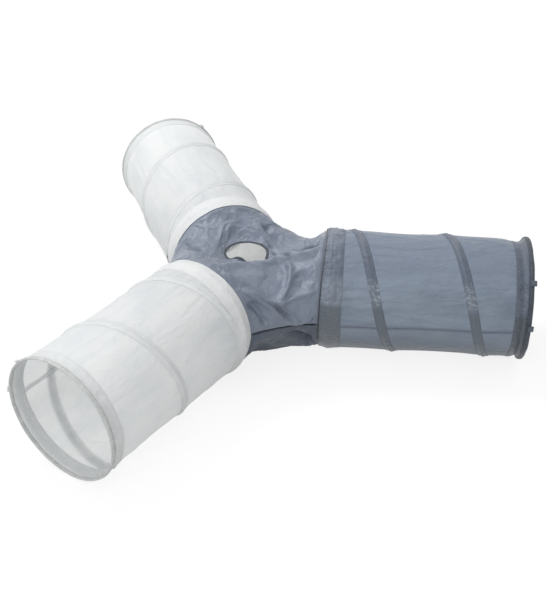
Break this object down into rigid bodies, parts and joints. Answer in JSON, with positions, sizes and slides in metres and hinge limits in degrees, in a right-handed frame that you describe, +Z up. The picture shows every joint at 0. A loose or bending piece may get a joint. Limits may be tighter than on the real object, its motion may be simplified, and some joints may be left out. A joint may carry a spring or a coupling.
{
  "type": "pet play tunnel",
  "caption": "Three-way pop-up play tunnel for cats and small dogs: three sprung fabric arms on wire coils meet in a soft hub with a peephole.",
  "frame": {"origin": "on the floor under the middle of the hub, on the hub's flat underside", "axes": "+Z up, +X along the blue-grey arm towards its mouth"},
  "size_m": [0.9574, 1.1263, 0.2512],
  "materials": {
    "white_cloth": "matte translucent polyester taffeta",
    "white_trim": "matte woven tape",
    "blue_grey_cloth": "matte translucent polyester taffeta",
    "blue_grey_trim": "matte woven tape",
    "hub_cloth": "crinkled taffeta with a slight sheen",
    "hub_trim": "dark bound edge",
    "spring_steel": "bare spring wire"
  },
  "bodies": {
    "hub": {"hub_upper_cover": "hub_cloth", "hub_lower_cover": "hub_cloth", "hub_peephole_binding": "hub_trim", "hub_front_welt": "hub_trim", "hub_left_welt": "hub_trim", "hub_rear_welt": "hub_trim"},
    "right_arm": {"right_sleeve": "blue_grey_cloth", "right_hub_hoop": "spring_steel", "right_cuff": "blue_grey_trim", "right_coil_wire": "spring_steel", "right_coil_channel": "blue_grey_trim", "right_seam_tape": "blue_grey_trim"},
    "right_mouth": {"right_mouth_hoop": "spring_steel", "right_mouth_hem": "blue_grey_trim", "right_rim_piping": "blue_grey_trim", "right_rim_loop_1": "blue_grey_trim", "right_rim_loop_2": "blue_grey_trim"},
    "back_arm": {"back_sleeve": "white_cloth", "back_hub_hoop": "spring_steel", "back_cuff": "white_trim", "back_coil_wire": "spring_steel", "back_coil_channel": "white_trim", "back_seam_tape": "white_trim"},
    "back_mouth": {"back_mouth_hoop": "spring_steel", "back_mouth_hem": "white_trim", "back_rim_piping": "white_trim", "back_rim_loop_1": "white_trim", "back_rim_loop_2": "white_trim"},
    "front_arm": {"front_sleeve": "white_cloth", "front_hub_hoop": "spring_steel", "front_cuff": "white_trim", "front_coil_wire": "spring_steel", "front_coil_channel": "white_trim", "front_seam_tape": "white_trim"},
    "front_mouth": {"front_mouth_hoop": "spring_steel", "front_mouth_hem": "white_trim", "front_rim_piping": "white_trim", "front_rim_loop_1": "white_trim", "front_rim_loop_2": "white_trim"}
  },
  "joints": [
    {"name": "right_swing", "type": "hinge", "parent": "hub", "child": "right_arm", "pos_m": [0.138, 0, 0.1256], "axis": [0, 0, 1], "range_deg": [-8, 8], "deforming": ["hub_upper_cover", "hub_lower_cover", "hub_front_welt", "hub_rear_welt"]},
    {"name": "right_collapse", "type": "slide", "parent": "right_arm", "child": "right_mouth", "axis": [-1, 0, 0], "range_m": [0, 0.333], "stiffness_N_per_m": 12, "springref_m": -0.05, "deforming": ["right_sleeve", "right_coil_wire", "right_coil_channel", "right_seam_tape"]},
    {"name": "back_swing", "type": "hinge", "parent": "hub", "child": "back_arm", "pos_m": [-0.04289, 0.09033, 0.1256], "axis": [0, 0, 1], "range_deg": [-8, 8], "deforming": ["hub_upper_cover", "hub_lower_cover", "hub_rear_welt", "hub_left_welt"]},
    {"name": "back_collapse", "type": "slide", "parent": "back_arm", "child": "back_mouth", "axis": [0.4289, -0.9033, 0], "range_m": [0, 0.395], "stiffness_N_per_m": 12, "springref_m": -0.05, "deforming": ["back_sleeve", "back_coil_wire", "back_coil_channel", "back_seam_tape"]},
    {"name": "front_swing", "type": "hinge", "parent": "hub", "child": "front_arm", "pos_m": [-0.06082, -0.10576, 0.1256], "axis": [0, 0, 1], "range_deg": [-8, 8], "deforming": ["hub_upper_cover", "hub_lower_cover", "hub_left_welt", "hub_front_welt"]},
    {"name": "front_collapse", "type": "slide", "parent": "front_arm", "child": "front_mouth", "axis": [0.4985, 0.8669, 0], "range_m": [0, 0.315], "stiffness_N_per_m": 12, "springref_m": -0.05, "deforming": ["front_sleeve", "front_coil_wire", "front_coil_channel", "front_seam_tape"]}
  ]
}
